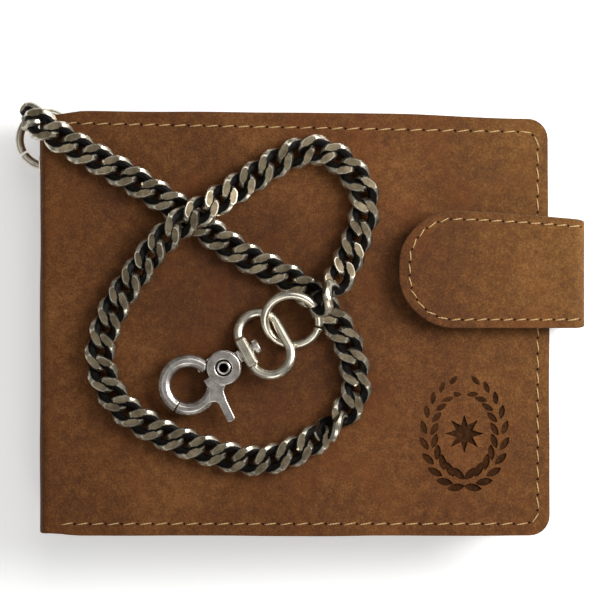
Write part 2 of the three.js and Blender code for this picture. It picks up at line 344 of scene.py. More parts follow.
def leather(name, look):
    material, wire, place, shader = newMaterial(name)
    patches = wire.noise(place, look["patch"], 4, 0.6)
    mottle = wire.noise(place, look["mottle"], 4, 0.65)
    speck = wire.noise(place, look["speck"], 2, 0.6)
    tone = ((patches - 0.5) * grain["patchShare"] + (mottle - 0.5) * grain["mottleShare"]
            + (speck - 0.5) * grain["speckShare"] + 0.5)
    colour = tone.ramp(list(zip(grain["stops"], (look["dark"], look["mid"], look["light"]))))
    redness = wire.noise(wire.spread(place, (1, 1, 1), grain["warmTurn"]), look["patch"] * grain["warmSize"])
    warm = tuple(c * k for c, k in zip(look["mid"], grain["warmTint"]))
    colour = wire.blend(redness.between(*grain["warmRange"]) * grain["warmShare"], colour, (*warm, 1))
    # thin scuffs: long stretched streaks that only show where a patch is worn
    stretched = wire.spread(place, grain["scuffStretch"], grain["scuffTurn"])
    streak = wire.noise(stretched, grain["scuffScale"], 3, 0.7)
    scuff = streak.between(*grain["scuffRange"]) * mottle.between(*grain["scuffWorn"]) * grain["scuffShare"]
    scuffed = tuple(min(1, c * grain["scuffPale"]) for c in look["light"])
    colour = wire.blend(scuff, colour, (*scuffed, 1))
    # painted light and sheen: the leather is tinted paler towards the strap side, where the light falls
    across, along = [wire.node("ShaderNodeSeparateXYZ", {}, {0: place}, output=i) for i in range(2)]
    paintedLightSide = (across + along * paintedLightAndShade["lean"]).between(*paintedLightAndShade["paintedLightRange"])
    colour = wire.blend(paintedLightSide, colour, (*paintedLightAndShade["paintedLightTint"], 1), "MULTIPLY")
    # painted shade: the leather is darkened in a soft spot round the hook, inside the chain loops
    distance = wire.node("ShaderNodeVectorMath", {"operation": "DISTANCE"},
                         {0: place, 1: paintedLightAndShade["paintedShadeSpot"]}, output=1)
    paintedShadeSpot = distance.between(*paintedLightAndShade["paintedShadeRange"])
    colour = wire.blend(paintedShadeSpot, colour, (*paintedLightAndShade["paintedShadeTint"], 1), "MULTIPLY")
    pores = wire.cells(place, grain["pores"]).between(*grain["poreRange"])
    height = pores * grain["poreRelief"] + speck * grain["speckRelief"] + mottle * grain["mottleRelief"]
    roughness = tone * grain["glossSpread"] + (look["roughness"] - grain["glossShift"])
    finishMaterial(wire, shader, colour, roughness, height, look["grainDepth"])
    shader.inputs["Specular IOR Level"].default_value = look["shine"]
    return material


brownLeather = leather("brownLeather", outerLook)
liningLeather = leather("liningLeather", liningLook)
pressedLeather = leather("pressedLeather", pressedLook)
edgeLeather = leather("edgeLeather", edgeLook)


# metals and thread. worn: the range of a piece's own "worn" value over which black turns to bare metal
steelLooks = {
    "chainSteel": {"bright": (0.82, 0.76, 0.62), "dull": (0.44, 0.39, 0.29), "roughness": 0.30,
                   "relief": 0.012 * mm, "black": (0.005, 0.004, 0.003), "worn": (0.56, 0.74)},
    # painted shade: a darker, browner copy of the chain steel for the links' ground flats
    "shadedFlatSteel": {"bright": (0.29, 0.235, 0.15), "dull": (0.14, 0.11, 0.07), "roughness": 0.52,
                  "relief": 0.012 * mm},
    "castSteel": {"bright": (0.80, 0.76, 0.70), "dull": (0.42, 0.37, 0.33), "roughness": 0.36,
                  "relief": 0.004 * mm},
    "wireSteel": {"bright": (0.82, 0.76, 0.62), "dull": (0.62, 0.57, 0.46), "roughness": 0.30,
                  "relief": 0.003 * mm},
    # painted shade: near-black steel for the rivet's bore
    "boreShadeSteel": {"bright": (0.02, 0.018, 0.016), "dull": (0.008, 0.007, 0.006), "roughness": 0.6,
                  "relief": 0.012 * mm},
}
steelGrain = {
    "smear": 420, "grit": 2600, "smearRange": (0.36, 0.66), "gritRange": (0.60, 0.78), "gritShare": 0.5,
    "smearRough": 0.12, "gritRough": 0.10, "roughShift": 0.11, "shine": 0.12,
    "smearRelief": 0.6, "gritRelief": 0.4, "bump": 0.5,
    "patinaSmear": 0.35, "patinaRough": 0.55, "patinaMetal": 0.25,
}


def steel(name):
    look = steelLooks[name]
    metal = steelGrain
    material, wire, place, shader = newMaterial(name)
    smear = wire.noise(place, metal["smear"], 4, 0.6)
    grit = wire.noise(place, metal["grit"], 3, 0.6)
    dull = (*look["dull"], 1)
    colour = wire.blend(smear.between(*metal["smearRange"]), dull, (*look["bright"], 1))
    colour = wire.blend(grit.between(*metal["gritRange"]) * metal["gritShare"], colour, dull)
    rough = (smear * metal["smearRough"] + grit * metal["gritRough"]
             + (look["roughness"] - metal["roughShift"]))
    metallic = None
    shader.inputs["Metallic"].default_value = 1
    if "worn" in look:
        worn = wire.node("ShaderNodeAttribute", {"attribute_name": "worn"}, {}, output=2)
        bare = (worn + (smear - 0.5) * metal["patinaSmear"]).between(*look["worn"])
        colour = wire.blend(bare, (*look["black"], 1), colour)
        rough = rough * bare + (1 - bare) * metal["patinaRough"]
        metallic = bare * (1 - metal["patinaMetal"]) + metal["patinaMetal"]
    shader.inputs["Specular IOR Level"].default_value = metal["shine"]
    height = smear * metal["smearRelief"] + grit * metal["gritRelief"]
    finishMaterial(wire, shader, colour, rough, height, look["relief"], metal["bump"], metallic)
    return material


chainSteel, shadedFlatSteel, castSteel, wireSteel, boreShadeSteel = [steel(name) for name in steelLooks]

threadLook = {
    "light": (0.66, 0.45, 0.20), "dark": (0.36, 0.21, 0.08), "plies": 900, "fuzz": 2400,
    "roughness": 0.7, "relief": 0.08 * mm,
}


def threadMaterial(name, look):
    material, wire, place, shader = newMaterial(name)
    ply = wire.node("ShaderNodeTexWave", {"wave_type": "BANDS", "bands_direction": "DIAGONAL"},
                    {"Vector": place, "Scale": look["plies"], "Distortion": 2.0, "Detail": 1.0}, output=1)
    fuzz = wire.noise(place, look["fuzz"])
    # the ply bands darken the grooves between the plies as painted shade; the fuzz is the thread's own uneven
    # tone
    colour = wire.blend(ply * 0.45 + fuzz * 0.45, (*look["dark"], 1), (*look["light"], 1))
    finishMaterial(wire, shader, colour, fuzz * 0.2 + look["roughness"], ply * 0.7 + fuzz * 0.3,
                   look["relief"])
    return material


tanThread = threadMaterial("tanThread", threadLook)
# painted shade: near-black leather marks where the thread goes into its needle holes
holeShadeLook = {**pressedLook, "dark": (0.006, 0.003, 0.002), "mid": (0.010, 0.005, 0.003),
            "light": (0.020, 0.009, 0.004)}
needleHoleShade = leather("needleHoleShade", holeShadeLook)

floorLook = {
    "light": (0.93, 0.93, 0.925), "shade": (0.90, 0.90, 0.895), "glow": 0.35, "clouds": 6,
    "roughness": 0.8, "relief": 0.05 * mm, "bump": 0.2, "drop": 0.05 * mm,
}


def floorMaterial(look):
    material, wire, place, shader = newMaterial("paleFloor")
    cloud = wire.noise(place, look["clouds"])
    colour = wire.blend(cloud, (*look["shade"], 1), (*look["light"], 1))
    finishMaterial(wire, shader, colour, cloud * 0.1 + look["roughness"], cloud, look["relief"], look["bump"])
    shader.inputs["Emission Color"].default_value = (1, 1, 1, 1)
    shader.inputs["Emission Strength"].default_value = look["glow"]
    return material


bpy.ops.mesh.primitive_plane_add(size=studio["floorSize"], location=(0, 0, -floorLook["drop"]))
floor = started("floor")
paint(floor, floorMaterial(floorLook))
print("materials are made")


# chain
chainRoute = [tuple(v * mm for v in point) for point in (
    (-67.3, 50, 12.9), (-67.2, 49.9, 16.6), (-66.2, 49.1, 20.4), (-64, 47.3, 23.2),
    (-60.5, 44.8, 23.7), (-54.2, 41, 23.1), (-41.5, 33.7, 23.1), (-29.4, 25.8, 23.1),
    (-16.7, 16.6, 23.1), (-4.7, 10.3, 23.1), (2.9, 4.3, 23.1), (8.7, -4.4, 23.1),
    (10.9, -14.2, 23.1), (9.5, -18.9, 23.1), (6.3, -22.9, 23.1), (-1.9, -29.2, 23.1),
    (-12.5, -32.2, 23.1), (-25.1, -29.5, 23.1), (-36.9, -24.7, 23.1), (-45.5, -17.9, 23.1),
    (-49.2, -7.9, 23.1), (-45.9, 3.5, 23.1), (-38.5, 14.4, 24), (-34.2, 19.4, 26.3),
    (-29.2, 23.8, 27.2), (-22.8, 27.9, 25.8), (-16.9, 31.8, 23.6), (-11, 35.7, 23.1),
    (-5.5, 38.9, 23.1), (0.4, 40.7, 23.1), (5.7, 39.1, 23.1), (10.2, 35.1, 23.1),
    (12.6, 30.5, 23.1), (12.6, 25, 23.1), (10.9, 19.6, 23.1), (8.7, 14.4, 23.9),
    (6.2, 9.5, 26), (3.8, 5.2, 27.7))]
link = {
    "wire": 2.5 * mm, "width": 7.4 * mm, "long": 10.3 * mm, "pitch": 5.3 * mm, "twist": -150,
    "flatAt": 1.91 * mm, "paintedHighlightRim": 0.22 * mm, "lowPatina": 0.9, "ringSteps": 7, "wireSteps": 3,
    "sway": 5, "wobble": 3, "kink": (5.6 * mm, -22.9 * mm), "kinkRoll": 58,
    # the first two links stand on edge between the ring and the cover, and are smaller
    "firstRolls": (50, 20), "firstSizes": (0.86, 0.92),
    "firstShifts": ((0.5 * mm, -0.9 * mm, 0), (0.25 * mm, -0.45 * mm, 0)),
    # the last one stands over the jump ring
    "endReach": 1.2 * mm, "endRoll": 62, "endShift": (-0.9 * mm, -0.3 * mm, 0),
    "ringEnd": (-0.46, -0.86, -0.2),
}


def smoothRoute(points, pieces=12):
    # points on a Catmull-Rom curve through the route
    ends = [Vector(points[0]) * 2 - Vector(points[1]), *map(Vector, points),
            Vector(points[-1]) * 2 - Vector(points[-2])]
    curve = []
    for a, b, c, d in zip(ends, ends[1:], ends[2:], ends[3:]):
        for step in range(pieces):
            t = step / pieces
            curve.append(0.5 * (2 * b + (c - a) * t + (2 * a - 5 * b + 4 * c - d) * t ** 2
                                + (3 * b - a - 3 * c + d) * t ** 3))
    return curve + [Vector(points[-1])]


def walk(points, spacing, offset=0.0):
    # evenly spaced (place, direction) along a line of points
    stations = []
    travelled = 0.0
    target = offset
    for a, b in zip(points, points[1:]):
        span = (b - a).length
        while span > 0 and travelled + span >= target:
            stations.append((a.lerp(b, (target - travelled) / span), (b - a).normalized()))
            target += spacing
        travelled += span
    return stations


def routeLength(points):
    return sum((b - a).length for a, b in zip(points, points[1:]))


def makeLink():
    # an oval of wire, twisted so that its two sides lean opposite ways, then ground flat above and below
    bpy.ops.curve.primitive_bezier_circle_add(radius=(link["width"] - link["wire"]) / 2)
    oval = bpy.context.object
    oval.scale = (link["long"] / link["width"], 1, 1)
    bpy.ops.object.transform_apply(scale=True)
    oval.data.resolution_u = link["ringSteps"]
    oval.data.bevel_depth = link["wire"] / 2
    oval.data.bevel_resolution = link["wireSteps"]
    bpy.ops.object.convert(target="MESH")
    one = cleaned(started("chainLink"))
    # bare metal on the outside of the wire, patina on the side that faces the link's opening
    worn = one.data.attributes.new("worn", "FLOAT", "POINT")
    longReach = (link["long"] - link["wire"]) / 2
    sideReach = (link["width"] - link["wire"]) / 2
    for point in one.data.vertices:
        ahead, aside = point.co.x / longReach, point.co.y / sideReach
        slope = Vector((ahead / longReach, aside / sideReach)).length
        distance = math.hypot(ahead, aside)
        outside = (distance - 1) * distance / slope
        worn.data[point.index].value = 0.5 + outside / link["wire"]
    use(one, "SIMPLE_DEFORM", deform_method="TWIST", deform_axis="X", angle=math.radians(link["twist"]))
    for side in (-1, 1):
        everything(one)
        bpy.ops.mesh.bisect(plane_co=(0, 0, side * link["flatAt"]), plane_no=(0, 0, side),
                            clear_outer=True, use_fill=True)
    done()
    # what lies low and faces up stays black too
    for point in one.data.vertices:
        hidden = -point.normal.z * point.co.z / link["flatAt"]
        one.data.attributes["worn"].data[point.index].value -= max(0, hidden) * link["lowPatina"]
    # painted shade on the ground flats, inset so that a rim of the brighter steel stays round each one as a
    # painted highlight
    paint(one, chainSteel, shadedFlatSteel)
    choose(one, "FACE", lambda co: abs(co.z) > link["flatAt"] - tiny)
    bpy.ops.mesh.inset(thickness=link["paintedHighlightRim"])
    one.active_material_index = 1
    bpy.ops.object.material_slot_assign()
    done()
    return softEdges(one, 32)


def level(direction, place, roll=0.0):
    # matrix of a piece whose X runs along direction and whose Z is as high as it can be
    side = Vector((0, 0, 1)).cross(direction).normalized()
    high = direction.cross(side)
    turn = Matrix((direction, side, high)).transposed().to_4x4()
    return Matrix.Translation(place) @ turn @ Matrix.Rotation(roll, 4, "X")


def makeChain():
    curve = smoothRoute(chainRoute)
    total = routeLength(curve)
    count = round(total / link["pitch"])
    start = total / count / 2
    # a hair less than even, so that rounding doesn't lose the last link
    stations = walk(curve, (total - start - link["endReach"]) / (count - 1) - 1e-7, start)
    one = makeLink()
    copies = []
    for i, (place, direction) in enumerate(stations[:count]):
        roll = math.radians(random.uniform(-link["sway"], link["sway"]))
        sway = Matrix.Rotation(math.radians(random.uniform(-link["wobble"], link["wobble"])), 4, "Z")
        size = 1
        if i < len(link["firstRolls"]):
            roll += math.radians(link["firstRolls"][i])
            size = link["firstSizes"][i]
            place = place + Vector(link["firstShifts"][i])
        if (place.xy - Vector(link["kink"])).length < link["pitch"] / 2:
            roll += math.radians(link["kinkRoll"])
        if i == count - 1:
            roll += math.radians(link["endRoll"])
            place = place + Vector(link["endShift"])
            direction = Vector(link["ringEnd"]).normalized()
        copies.append(copyOf(one, level(direction, place, roll) @ sway @ Matrix.Scale(size, 4)))
    away(one)
    return joined("curbChain", copies)


chain = makeChain()
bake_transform(chain)
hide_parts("chain")
print("chain:", len(chain.data.polygons), "faces")


# rings, hook and swivel
def cut(obj, cutter, moveMaterial=False):
    only(obj)
    tool = obj.modifiers.new("Cut", "BOOLEAN")
    tool.operation = "DIFFERENCE"
    tool.object = cutter
    tool.solver = "EXACT"
    tool.use_self = True
    if moveMaterial:
        tool.material_mode = "TRANSFER"
    bpy.ops.object.modifier_apply(modifier=tool.name)
    away(cutter)


ringLook = {"radius": 6.4 * mm, "wire": 1.04 * mm, "steps": 72, "sides": 14, "edge": 0.12 * mm}


def splitRing(name, node, gapAt, gapWidth, lean=(0, 0, 1)):
    low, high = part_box(node)
    bpy.ops.mesh.primitive_torus_add(major_radius=ringLook["radius"], minor_radius=ringLook["wire"],
                                     major_segments=ringLook["steps"], minor_segments=ringLook["sides"])
    ring = started(name)
    gap = math.radians(gapAt)
    choose(ring, "FACE", lambda co: co.xy.angle(Vector((math.cos(gap), math.sin(gap)))) < gapWidth)
    bpy.ops.mesh.delete(type="FACE")
    done()
    choose(ring, "VERT", lambda co: False)
    bpy.ops.mesh.select_non_manifold()
    bpy.ops.mesh.fill_holes(sides=0)
    done()
    bevelled(ring, ringLook["edge"], 2)
    ring.rotation_euler = Vector((0, 0, 1)).rotation_difference(Vector(lean).normalized()).to_euler()
    ring.location = (low + high) / 2
    softEdges(settled(ring), 45)
    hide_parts(node)
    return paint(ring, wireSteel)


castLook = {"voxel": 0.13 * mm, "smoothing": 0.5, "rounds": 4, "bowRounds": 3, "swell": 0.05 * mm}


def castCopy(name, node):
    # a softened casting over the plain solid
    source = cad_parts[node]
    cast = source.copy()
    cast.data = source.data.copy()
    for key in [key for key in cast.keys() if key.startswith("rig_")]:
        del cast[key]
    bpy.context.scene.collection.objects.link(cast)
    cast.parent = None
    cast.matrix_world = Matrix.Identity(4)
    cast.hide_render = False
    cast.hide_viewport = False
    only(cast)
    started(name)
    everything(cast)
    bpy.ops.mesh.remove_doubles(threshold=tiny / 2)
    done()
    use(cast, "REMESH", mode="VOXEL", voxel_size=castLook["voxel"], use_smooth_shade=True)
    use(cast, "SMOOTH", factor=castLook["smoothing"], iterations=castLook["rounds"])
    use(cast, "DISPLACE", strength=castLook["swell"], mid_level=0)
    paint(cast, castSteel)
    only(cast)
    bpy.ops.object.shade_smooth()
    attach(cast, node)
    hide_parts(node)
    print(name, len(cast.data.polygons), "faces")
    return cast


hookSpot = {"place": (-14.78 * mm, -6.71 * mm, 23.9 * mm), "turn": 29, "bowRoll": -13}
hookPlace = Matrix.Translation(hookSpot["place"]) @ Matrix.Rotation(math.radians(hookSpot["turn"]), 4, "Z")
bow = {
    "middle": (4.6 * mm, -0.3 * mm), "bend": 4.87 * mm, "straight": 2.95 * mm, "wire": 1.2 * mm,
    "collar": (2.9 * mm, 6.6 * mm, 4.3 * mm), "collarEnds": 0.35, "taper": 0.5 * mm, "edge": 0.6 * mm,
    "bore": 1.4 * mm,
}


def makeBow():
    # a stadium of wire with a block for a collar, bored for the hook's shank
    bpy.ops.mesh.primitive_torus_add(major_radius=bow["bend"], minor_radius=bow["wire"],
                                     major_segments=64, minor_segments=18)
    loop = started("bowLoop")
    for side in (-1, 1):
        choose(loop, "VERT", lambda co: co.y * side > tiny)
        bpy.ops.transform.translate(value=(0, side * bow["straight"], 0))
    done()
    loop.location = (*bow["middle"], 0)
    bpy.ops.mesh.primitive_cube_add(size=1, location=(0, bow["middle"][1], 0))
    collar = started("bowCollar")
    bpy.ops.transform.resize(value=bow["collar"])
    settled(collar)
    for side in (-1, 1):  # the block narrows into the wire
        choose(collar, "FACE", lambda co: co.y * side > bow["collar"][1] * bow["collarEnds"])
        bpy.ops.mesh.inset(thickness=bow["taper"], depth=bow["taper"])
    done()
    bevelled(collar, bow["edge"], 4, 50)
    piece = joined("swivelBow", [loop, collar])
    use(piece, "REMESH", mode="VOXEL", voxel_size=castLook["voxel"], use_smooth_shade=True)
    bpy.ops.mesh.primitive_cylinder_add(radius=bow["bore"], depth=bow["collar"][0] * 2, vertices=40,
                                        rotation=(0, math.pi / 2, 0))
    cut(piece, settled(started("drill")))
    use(piece, "SMOOTH", factor=castLook["smoothing"], iterations=castLook["bowRounds"])
    piece.data.transform(hookPlace @ Matrix.Rotation(math.radians(hookSpot["bowRoll"]), 4, "X"))
    paint(piece, wireSteel)
    softEdges(piece, 50)
    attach(piece, "hook_bow")
    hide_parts("swivel_bow")
    return piece


anchorRing = splitRing("anchorRing", "anchor_ring", gapAt=213, gapWidth=0.07)
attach(anchorRing, "back_half")
jumpRing = splitRing("jumpRing", "jump_ring", gapAt=-14, gapWidth=0.06, lean=(-0.08, -0.44, 1))
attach(jumpRing, "hook_bow")
swivelBow = makeBow()
hookBody = castCopy("hookBody", "hook_body")
hookTrigger = castCopy("hookTrigger", "hook_trigger")


def spun(name, profile, matrix):
    # a turned piece: profile is (radius, height) pairs in mm, closed on itself or ending on the axis
    mesh = bpy.data.meshes.new(name)
    edges = [(i, i + 1) for i in range(len(profile) - 1)]
    mesh.from_pydata([(r * mm, 0, z * mm) for r, z in profile], edges, [])
    piece = bpy.data.objects.new(name, mesh)
    bpy.context.scene.collection.objects.link(piece)
    everything(piece)
    bpy.ops.mesh.spin(steps=40, angle=math.tau, center=(0, 0, 0), axis=(0, 0, 1))
    cleaned(piece, tiny / 5)
    piece.data.transform(matrix)
    return softEdges(piece, 35)


def turned(piece, body, material, node):
    paint(piece, material)
    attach(piece, body)
    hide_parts(node)
    return piece


rivetLow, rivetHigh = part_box("hook_rivet")
rivetMiddle = (rivetLow + rivetHigh) / 2
rivetLook = {
    "low": 2.2 * mm, "bore": 1.0 * mm, "boreFloor": 0.3 * mm,
    "profile": [(0, -2.2), (1.45, -2.2), (1.6, -2.0), (1.6, 1.75), (1.56, 2.0), (1.38, 2.12),
                (1.15, 2.06), (1.0, 1.85), (0.98, 1.5), (0.95, -1.6), (0, -1.6)],
}
rivetPlace = Matrix.Translation((rivetMiddle.x, rivetMiddle.y, rivetLow.z + rivetLook["low"]))
rivet = turned(spun("hookRivet", rivetLook["profile"], rivetPlace), "hook_body", castSteel, "hook_rivet")
rivet.data.materials.append(boreShadeSteel)
for face in rivet.data.polygons:  # painted shade: the rivet's bore gets near-black steel
    centred = (face.center.xy - rivetMiddle.xy).length < rivetLook["bore"]
    deep = face.center.z > rivetLow.z + rivetLook["boreFloor"]
    face.material_index = 1 if centred and deep else 0
print("rings and hook are made")


# leather sheets
def flatSheet(name, left, right, low, high, z):
    bpy.ops.mesh.primitive_plane_add(size=1, location=((left + right) / 2, (low + high) / 2, z))
    sheet = started(name)
    bpy.ops.transform.resize(value=(right - left, high - low, 1))
    return settled(sheet)


def roundCorner(sheet, wanted, radius, steps=7):
    choose(sheet, "VERT", wanted)
    bpy.ops.mesh.bevel(offset=radius, offset_pct=0, segments=steps, affect="VERTICES")
    done()


def gridCuts(sheet, spacing):
    # straight cuts both ways, so that the sheet can bend and ripple
    low = [min(v.co[k] for v in sheet.data.vertices) for k in range(2)]
    high = [max(v.co[k] for v in sheet.data.vertices) for k in range(2)]
    for k in range(2):
        count = int((high[k] - low[k]) / spacing)
        for i in range(1, count):
            at = low[k] + (high[k] - low[k]) * i / count
            everything(sheet)
            bpy.ops.mesh.bisect(plane_co=(at if k == 0 else 0, at if k == 1 else 0, 0),
                                plane_no=(1 - k, k, 0))
    done()


def ripple(sheet, size, strength):
    # slow waves of the hide
    cloud = bpy.data.textures.new("hideWaves", "CLOUDS")
    cloud.noise_scale = size
    cloud.noise_depth = 1
    use(sheet, "DISPLACE", texture=cloud, strength=strength, mid_level=0.5, texture_coords="LOCAL",
        direction="NORMAL")


outerHide = {
    "thickness": 1.6 * mm, "corner": 4.8 * mm, "gridStep": 2.4 * mm, "foldSteps": 16, "edge": 0.45 * mm,
    "waves": 0.028, "waveHeight": 0.5 * mm,
    # the cut is not square
    "rightTop": (-0.5 * mm, -0.9 * mm, 0), "foldTop": -1.1 * mm, "foldTopReach": 9 * mm,
    "foldLow": 0.6 * mm, "foldLowReach": 7 * mm,
    "rightDrop": -1.0 * mm, "dropFrom": (7 * mm, 2.2 * mm), "rightDropReach": 34 * mm,
}


def makeOuterHide():
    front = frontBox
    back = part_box("back_cover")
    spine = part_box("spine")
    half = outerHide["thickness"] / 2
    foldX = spine[1].x
    top = front[1].z - half
    bottom = back[0].z + half
    centreZ = (top + bottom) / 2
    hide = flatSheet("outerHide", foldX, front[1].x, front[0].y, front[1].y, top)
    choose(hide, "EDGE", lambda co: co.x < foldX + 0.1 * mm)
    bpy.ops.mesh.spin(steps=outerHide["foldSteps"], angle=math.pi, center=(foldX, 0, centreZ),
                      axis=(0, 1, 0))
    done()
    squeeze = (foldX - spine[0].x - half) / ((top - bottom) / 2)
    choose(hide, "VERT", lambda co: co.x < foldX - tiny)
    bpy.ops.transform.resize(value=(squeeze, 1, 1), center_override=(foldX, 0, centreZ))
    done()
    choose(hide, "EDGE", lambda co: co.z < bottom + tiny)
    extrude(back[1].x - foldX, 0, 0)
    done()
    choose(hide, "VERT", lambda co: co.x > foldX + 10 * mm and co.y > 0)
    bpy.ops.transform.translate(value=outerHide["rightTop"])
    done()
    roundCorner(hide, lambda co: co.x > foldX + 10 * mm, outerHide["corner"])
    gridCuts(hide, outerHide["gridStep"])
    pull(hide, lambda co: co.x < foldX + 1 * mm and co.y > front[1].y - 1 * mm,
         (0, outerHide["foldTop"], 0), outerHide["foldTopReach"])
    pull(hide, lambda co: co.x < foldX + 1 * mm and co.y < front[0].y + 1 * mm,
         (0, outerHide["foldLow"], 0), outerHide["foldLowReach"])
    inX, inY = outerHide["dropFrom"]
    pull(hide, lambda co: co.x > front[1].x - inX and co.y > front[1].y - inY,
         (0, outerHide["rightDrop"], 0), outerHide["rightDropReach"])
    cleaned(hide)
    paint(hide, brownLeather, liningLeather, edgeLeather)
    first = hide.data.polygons[0]
    if first.normal.z < 0 and first.center.z > centreZ:
        everything(hide)
        bpy.ops.mesh.flip_normals()
        done()
    use(hide, "SOLIDIFY", thickness=outerHide["thickness"], offset=0, use_even_offset=True,
        material_offset=1, material_offset_rim=2)
    bevelled(hide, outerHide["edge"], 3, 65)
    ripple(hide, outerHide["waves"], outerHide["waveHeight"])
    return hide


hide = makeOuterHide()
print("outer hide:", len(hide.data.polygons), "faces")


# pressed mark: a leaf wreath round an eight-pointed star
mark = {
    "middle": (36.4 * mm, -26.0 * mm), "wide": 8.3 * mm, "tall": 11.2 * mm, "leafLong": 4.6 * mm,
    "leafWide": 2.0 * mm, "leafPinch": 0.55, "pairs": 10, "from": -78, "over": 152, "shrink": 0.3,
    "rows": ((0.86, 26), (1.16, -26)), "depth": 0.45 * mm, "toolHigh": 1.2 * mm, "toolTaper": 0.86,
    "starOut": 5.0 * mm, "starIn": 2.3 * mm,
}


def stamp(name, outline):
    # a flat figure with tapering sides, its wide face up
    bpy.ops.mesh.primitive_circle_add(vertices=16, radius=1, fill_type="NGON", location=(0, 0, 0))
    figure = started(name)
    for i, point in enumerate(figure.data.vertices):
        point.co = outline(i, point.co)
    everything(figure)
    extrude(0, 0, -mark["toolHigh"])
    bpy.ops.transform.resize(value=(mark["toolTaper"], mark["toolTaper"], 1))
    done()
    return cleaned(figure)


def makeMark():
    def leafOutline(i, co):
        pinch = 1 - mark["leafPinch"] * abs(co.x) ** 3
        return Vector((co.x * mark["leafLong"] / 2, co.y * mark["leafWide"] / 2 * pinch, 0))

    def starOutline(i, co):
        reach = mark["starOut"] if i % 2 == 0 else mark["starIn"]
        return co.normalized() * reach

    top = frontBox[1].z - mark["depth"] + mark["toolHigh"]
    leaf = stamp("leaf", leafOutline)
    parts = []
    for side in (-1, 1):
        for i in range(mark["pairs"]):
            share = i / (mark["pairs"] - 1)
            angle = math.radians(mark["from"] + mark["over"] * share)
            across, up = side * math.cos(angle), math.sin(angle)
            along = math.atan2(math.cos(angle) * mark["tall"], -side * up * mark["wide"])
            size = 1 - mark["shrink"] * share
            for reach, lean in mark["rows"]:
                tilt = along + side * math.radians(lean)
                place = Matrix.Translation((mark["middle"][0] + across * mark["wide"] * reach,
                                            mark["middle"][1] + up * mark["tall"] * reach, top))
                parts.append(copyOf(leaf, place @ Matrix.Rotation(tilt, 4, "Z") @ Matrix.Scale(size, 4)))
    away(leaf)
    star = stamp("star", starOutline)
    star.matrix_world = Matrix.Translation((*mark["middle"], top))
    parts.append(star)
    return joined("markCutter", parts)


markCutter = makeMark()
paint(markCutter, pressedLeather)
cut(hide, markCutter, True)
print("mark is pressed")

eyelet = {"y": 38.15 * mm, "hole": 2.35 * mm, "punchLong": 12 * mm, "out": 0.25 * mm}
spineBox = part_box("spine")
foldZ = (spineBox[0].z + spineBox[1].z) / 2
bpy.ops.mesh.primitive_cylinder_add(radius=eyelet["hole"], depth=eyelet["punchLong"], vertices=32,
                                    location=(spineBox[0].x, eyelet["y"], foldZ),
                                    rotation=(0, math.pi / 2, 0))
punch = started("punch")
paint(punch, edgeLeather)
cut(hide, settled(punch), True)
softEdges(hide, 42)


def heightOn(obj, x, y, missed, start=40 * mm, way=-1):
    # the height of the leather above or below a point
    hit, place, normal, face = obj.ray_cast(Vector((x, y, start)), Vector((0, 0, way)))
    return place.z if hit else missed


# stitching
coverStitch = {"pitch": 3.7 * mm, "long": 3.5 * mm, "thick": 0.34 * mm, "slant": 9, "hole": 0.28 * mm}
strapStitch = {"pitch": 3.05 * mm, "long": 2.9 * mm, "thick": 0.33 * mm, "slant": 9, "hole": 0.25 * mm}
needlework = {
    "endsFrom": 0.3, "endsDrop": 0.42, "holeHigh": 0.07 * mm, "holeTop": 0.7, "holeRim": 0.3,
    "holeDeep": 0.04 * mm, "lift": 0.05 * mm, "backLift": 0.14 * mm, "unevenness": 2,
}
coverSeam = {
    "left": -58.2 * mm, "inRight": 2.9 * mm, "inLow": 2.8 * mm, "inHigh": 2.9 * mm,
    "inHighRight": 5.0 * mm, "corner": 3.0 * mm,
}


def makeStitch(look):
    # one thread float, its ends going down into the leather
    bpy.ops.mesh.primitive_uv_sphere_add(segments=8, ring_count=7, radius=1, rotation=(0, math.pi / 2, 0))
    thread = settled(started("stitch"))
    everything(thread)
    bpy.ops.transform.resize(value=(look["long"] / 2, look["thick"] / 2, look["thick"] / 2))
    done()
    for side in (-1, 1):
        choose(thread, "VERT", lambda co: co.x * side > look["long"] * needlework["endsFrom"])
        bpy.ops.transform.translate(value=(0, 0, -look["thick"] * needlework["endsDrop"]))
    done()
    bpy.ops.object.shade_smooth()
    return thread


def makeHole(look):
    # a small near-black mark at each needle hole, as painted shade
    bpy.ops.mesh.primitive_circle_add(vertices=10, radius=look["hole"], fill_type="NGON")
    hole = started("needleHoleMark")
    everything(hole)
    extrude(0, 0, needlework["holeHigh"])
    bpy.ops.transform.resize(value=(needlework["holeTop"], needlework["holeTop"], 1))
    bpy.ops.mesh.inset(thickness=look["hole"] * needlework["holeRim"], depth=-needlework["holeDeep"])
    done()
    return cleaned(hole)


def stitchRun(name, points, look, placeOf):
    # placeOf gives the matrix of a spot: X along the seam, Z out of the leather
    thread = makeStitch(look)
    hole = makeHole(look)
    threads = []
    holes = []
    uneven = needlework["unevenness"]
    for place, direction in walk(points, look["pitch"], look["pitch"] / 2):
        slant = Matrix.Rotation(math.radians(look["slant"] + random.uniform(-uneven, uneven)), 4, "Z")
        threads.append(copyOf(thread, placeOf(place, direction) @ slant))
    for place, direction in walk(points, look["pitch"]):
        holes.append(copyOf(hole, placeOf(place, direction)))
    away(thread, hole)
    return paint(joined(name, threads), tanThread), paint(joined(name + "Holes", holes), needleHoleShade)


def onFront(place, direction):
    z = heightOn(hide, place.x, place.y, frontBox[1].z)
    return level(direction, Vector((place.x, place.y, z + needlework["lift"])))


def onBack(place, direction):
    z = heightOn(hide, place.x, place.y, frontBox[1].z, -10 * mm, 1)
    spot = Vector((place.x, place.y, max(z, 0) + needlework["backLift"]))
    return level(direction, spot) @ Matrix.Rotation(math.pi, 4, "X")


